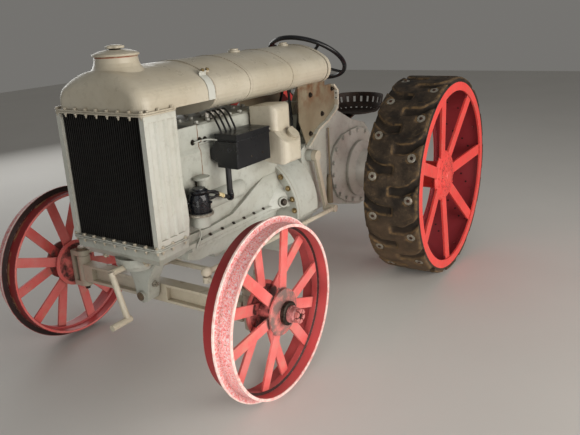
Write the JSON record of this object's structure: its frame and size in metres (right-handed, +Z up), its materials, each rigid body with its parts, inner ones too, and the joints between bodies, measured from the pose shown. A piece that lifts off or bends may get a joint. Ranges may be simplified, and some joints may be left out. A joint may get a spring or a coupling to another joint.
{
  "type": "vintage farm tractor",
  "caption": "Vintage farm tractor on spoked steel wheels with rubber bands, an open engine under a long fuel tank, a tall finned radiator and a pan seat.",
  "frame": {"origin": "on the ground under the middle of the tractor", "axes": "+X forward, +Y to the driver's left, +Z up"},
  "size_m": [2.5466, 1.624, 1.4293],
  "materials": {
    "cream_paint": "worn matt cream paint with rust at the edges",
    "grey_casting": "rough casting under worn pale green-grey paint",
    "red_paint": "worn red paint on the wheels",
    "black_paint": "satin black paint",
    "band_rubber": "hard weathered rubber",
    "rusty_steel": "brown rusted steel"
  },
  "bodies": {
    "chassis": {"radiator_top_tank": "cream_paint", "radiator_cap": "cream_paint", "radiator_core": "black_paint", "radiator_side_left": "cream_paint", "radiator_side_right": "cream_paint", "radiator_bottom_tank": "grey_casting", "fuel_tank": "cream_paint", "tank_rear_band": "cream_paint", "engine_block": "grey_casting", "cylinder_head": "grey_casting", "oil_pan": "grey_casting", "spark_plug_leads": "black_paint", "coil_box": "black_paint", "timer": "black_paint", "air_washer": "cream_paint", "manifold": "grey_casting", "exhaust_pipe": "rusty_steel", "transmission_case": "grey_casting", "rear_housing": "grey_casting", "axle_housing_left": "grey_casting", "axle_housing_right": "grey_casting", "tank_support": "cream_paint", "steering_column": "cream_paint", "seat_spring": "rusty_steel", "seat_pan": "rusty_steel", "drawbar": "grey_casting", "gear_lever": "black_paint", "brake_rod": "rusty_steel", "hand_crank": "cream_paint", "front_axle": "cream_paint", "radius_rods": "cream_paint", "fan_bracket": "grey_casting"},
    "steering_knuckle_left": {"knuckle_left": "cream_paint"},
    "steering_knuckle_right": {"knuckle_right": "cream_paint"},
    "front_wheel_left": {"front_wheel_left": "red_paint"},
    "front_wheel_right": {"front_wheel_right": "red_paint"},
    "rear_wheel_left": {"rear_wheel_left": "red_paint", "rubber_band_left": "band_rubber"},
    "rear_wheel_right": {"rear_wheel_right": "red_paint", "rubber_band_right": "band_rubber"},
    "tie_rod": {"tie_rod": "cream_paint"},
    "drag_link": {"drag_link": "cream_paint"},
    "drop_arm": {"drop_arm": "cream_paint"},
    "steering_wheel": {"steering_wheel": "black_paint"},
    "fan": {"fan": "rusty_steel"}
  },
  "joints": [
    {"name": "steer_left", "type": "hinge", "parent": "chassis", "child": "steering_knuckle_left", "pos_m": [0.89235, 0.505, 0.381], "axis": [0, 0, 1], "range_deg": [-30, 30]},
    {"name": "steer_right", "type": "hinge", "parent": "chassis", "child": "steering_knuckle_right", "pos_m": [0.89235, -0.505, 0.381], "axis": [0, 0, 1], "range_deg": [-30, 30]},
    {"name": "front_wheel_left_turn", "type": "hinge", "parent": "steering_knuckle_left", "child": "front_wheel_left", "pos_m": [0.89235, 0.6145, 0.381], "axis": [0, 1, 0], "continuous": true},
    {"name": "front_wheel_right_turn", "type": "hinge", "parent": "steering_knuckle_right", "child": "front_wheel_right", "pos_m": [0.89235, -0.6145, 0.381], "axis": [0, 1, 0], "continuous": true},
    {"name": "rear_wheel_left_turn", "type": "hinge", "parent": "chassis", "child": "rear_wheel_left", "pos_m": [-0.70765, 0.66, 0.5657], "axis": [0, 1, 0], "continuous": true},
    {"name": "rear_wheel_right_turn", "type": "hinge", "parent": "chassis", "child": "rear_wheel_right", "pos_m": [-0.70765, -0.66, 0.5657], "axis": [0, 1, 0], "continuous": true},
    {"name": "drag_link_turn", "type": "hinge", "parent": "steering_knuckle_left", "child": "drag_link", "pos_m": [0.88235, 0.275, 0.4765], "axis": [0, 0, 1], "range_deg": [-30, 30]},
    {"name": "tie_rod_turn", "type": "hinge", "parent": "steering_knuckle_left", "child": "tie_rod", "pos_m": [0.73035, 0.433, 0.4105], "axis": [0, 0, 1], "range_deg": [-34.65, 34.65]},
    {"name": "drop_arm_swing", "type": "hinge", "parent": "chassis", "child": "drop_arm", "pos_m": [-0.13065, 0.235, 0.767], "axis": [0, -1, 0], "range_deg": [-20.7, 20.7]},
    {"name": "steering_wheel_turn", "type": "hinge", "parent": "chassis", "child": "steering_wheel", "pos_m": [-0.47265, 0, 1.252], "axis": [-0.5707, 0, 0.8211], "range_deg": [-450, 450]},
    {"name": "fan_turn", "type": "hinge", "parent": "chassis", "child": "fan", "pos_m": [0.88935, 0, 0.96], "axis": [1, 0, 0], "continuous": true}
  ],
  "couplings": [
    {"joint": "steer_right", "follows": "steer_left", "ratio": 1},
    {"joint": "drag_link_turn", "follows": "steer_left", "ratio": -1},
    {"joint": "tie_rod_turn", "follows": "steer_left", "ratio": -1.155},
    {"joint": "drop_arm_swing", "follows": "steer_left", "ratio": 0.69},
    {"joint": "steering_wheel_turn", "follows": "steer_left", "ratio": 15}
  ]
}
